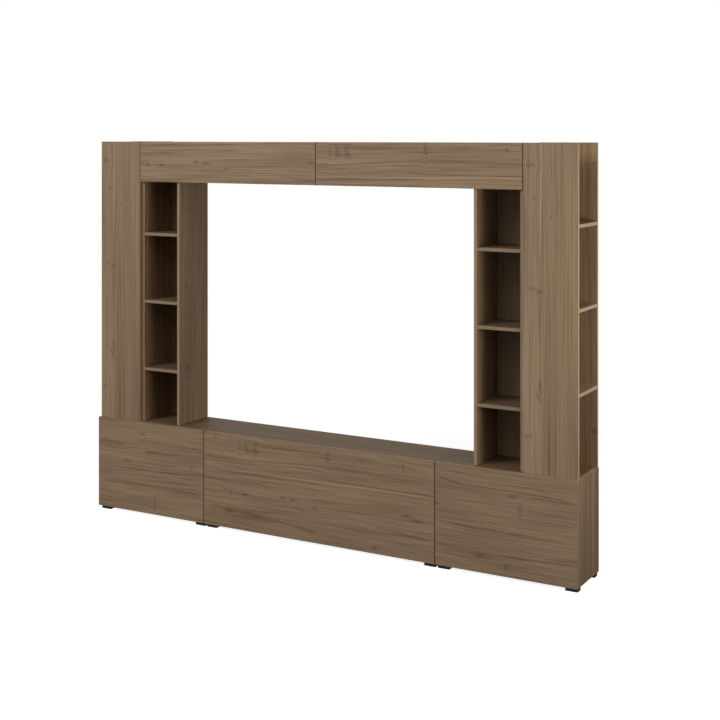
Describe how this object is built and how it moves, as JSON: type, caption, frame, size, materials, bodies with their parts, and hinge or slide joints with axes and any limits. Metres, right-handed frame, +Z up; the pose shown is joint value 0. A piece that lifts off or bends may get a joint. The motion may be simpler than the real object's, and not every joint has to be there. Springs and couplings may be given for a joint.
{
  "type": "entertainment center",
  "caption": "Wide wall unit in walnut-faced board with low drop-front cabinets, open-niche towers, a television bay and lift-up flap cabinets above it",
  "frame": {"origin": "On the floor, in the middle of the footprint", "axes": "+X to the right along the width, +Y to the back towards the wall, +Z up"},
  "size_m": [2.738, 0.29, 2],
  "materials": {
    "front_walnut": "greyish walnut laminate on particle board, satin, grain along the front",
    "carcass_walnut": "greyish walnut laminate on particle board with edge banding, satin",
    "back_hardboard": "thin hardboard with a walnut-coloured lacquered face",
    "latch_plastic": "grey moulded plastic, satin"
  },
  "bodies": {
    "carcass": {"left_base_left_side": "carcass_walnut", "left_base_right_side": "carcass_walnut", "left_base_bottom": "carcass_walnut", "left_base_top": "carcass_walnut", "left_base_back": "back_hardboard", "centre_base_left_side": "carcass_walnut", "centre_base_right_side": "carcass_walnut", "centre_base_bottom": "carcass_walnut", "centre_base_top": "carcass_walnut", "centre_base_back": "back_hardboard", "right_base_left_side": "carcass_walnut", "right_base_right_side": "carcass_walnut", "right_base_bottom": "carcass_walnut", "right_base_top": "carcass_walnut", "right_base_back": "back_hardboard", "left_upper_left_side": "carcass_walnut", "left_upper_right_side": "carcass_walnut", "left_upper_bottom": "carcass_walnut", "left_upper_top": "carcass_walnut", "left_upper_back": "back_hardboard", "right_upper_left_side": "carcass_walnut", "right_upper_right_side": "carcass_walnut", "right_upper_bottom": "carcass_walnut", "right_upper_top": "carcass_walnut", "right_upper_back": "back_hardboard", "left_tower_front_panel": "carcass_walnut", "left_tower_partition": "carcass_walnut", "left_tower_inner_side": "carcass_walnut", "left_tower_outer_back": "carcass_walnut", "left_tower_inner_back": "carcass_walnut", "left_tower_inner_shelf_1": "carcass_walnut", "left_tower_inner_shelf_2": "carcass_walnut", "left_tower_inner_shelf_3": "carcass_walnut", "left_tower_outer_shelf_1": "carcass_walnut", "left_tower_outer_shelf_2": "carcass_walnut", "left_tower_outer_shelf_3": "carcass_walnut", "right_tower_front_panel": "carcass_walnut", "right_tower_partition": "carcass_walnut", "right_tower_inner_side": "carcass_walnut", "right_tower_outer_back": "carcass_walnut", "right_tower_inner_back": "carcass_walnut", "right_tower_inner_shelf_1": "carcass_walnut", "right_tower_inner_shelf_2": "carcass_walnut", "right_tower_inner_shelf_3": "carcass_walnut", "right_tower_outer_shelf_1": "carcass_walnut", "right_tower_outer_shelf_2": "carcass_walnut", "right_tower_outer_shelf_3": "carcass_walnut"},
    "left_base_front": {"left_base_front": "front_walnut"},
    "centre_base_front": {"centre_base_front": "front_walnut"},
    "right_base_front": {"right_base_front": "front_walnut"},
    "left_upper_flap": {"left_upper_flap": "front_walnut"},
    "right_upper_flap": {"right_upper_flap": "front_walnut"},
    "left_base_plungers": {"left_base_front_plunger_1": "latch_plastic"},
    "centre_base_plungers": {"centre_base_front_plunger_1": "latch_plastic", "centre_base_front_plunger_2": "latch_plastic"},
    "right_base_plungers": {"right_base_front_plunger_1": "latch_plastic"},
    "left_upper_plungers": {"left_upper_flap_plunger_1": "latch_plastic", "left_upper_flap_plunger_2": "latch_plastic"},
    "right_upper_plungers": {"right_upper_flap_plunger_1": "latch_plastic", "right_upper_flap_plunger_2": "latch_plastic"}
  },
  "joints": [
    {"name": "left_base_drop", "type": "hinge", "parent": "carcass", "child": "left_base_front", "pos_m": [-1.01825, -0.138, 0.024], "axis": [1, 0, 0], "range_deg": [0, 90]},
    {"name": "centre_base_drop", "type": "hinge", "parent": "carcass", "child": "centre_base_front", "pos_m": [0, -0.138, 0.024], "axis": [1, 0, 0], "range_deg": [0, 90]},
    {"name": "right_base_drop", "type": "hinge", "parent": "carcass", "child": "right_base_front", "pos_m": [1.01825, -0.138, 0.024], "axis": [1, 0, 0], "range_deg": [0, 90]},
    {"name": "left_upper_lift", "type": "hinge", "parent": "carcass", "child": "left_upper_flap", "pos_m": [-0.54975, -0.1185, 1.996], "axis": [-1, 0, 0], "range_deg": [0, 90]},
    {"name": "right_upper_lift", "type": "hinge", "parent": "carcass", "child": "right_upper_flap", "pos_m": [0.54975, -0.1185, 1.996], "axis": [-1, 0, 0], "range_deg": [0, 90]},
    {"name": "left_base_latch_slide", "type": "slide", "parent": "carcass", "child": "left_base_plungers", "axis": [0, -1, 0], "range_m": [0, 0.01]},
    {"name": "centre_base_latch_slide", "type": "slide", "parent": "carcass", "child": "centre_base_plungers", "axis": [0, -1, 0], "range_m": [0, 0.01]},
    {"name": "right_base_latch_slide", "type": "slide", "parent": "carcass", "child": "right_base_plungers", "axis": [0, -1, 0], "range_m": [0, 0.01]},
    {"name": "left_upper_latch_slide", "type": "slide", "parent": "carcass", "child": "left_upper_plungers", "axis": [0, -1, 0], "range_m": [0, 0.01]},
    {"name": "right_upper_latch_slide", "type": "slide", "parent": "carcass", "child": "right_upper_plungers", "axis": [0, -1, 0], "range_m": [0, 0.01]}
  ],
  "couplings": [
    {"joint": "left_base_latch_slide", "follows": "left_base_drop", "m_per_rad": 0.006365},
    {"joint": "centre_base_latch_slide", "follows": "centre_base_drop", "m_per_rad": 0.006365},
    {"joint": "right_base_latch_slide", "follows": "right_base_drop", "m_per_rad": 0.006365},
    {"joint": "left_upper_latch_slide", "follows": "left_upper_lift", "m_per_rad": 0.006365},
    {"joint": "right_upper_latch_slide", "follows": "right_upper_lift", "m_per_rad": 0.006365}
  ]
}
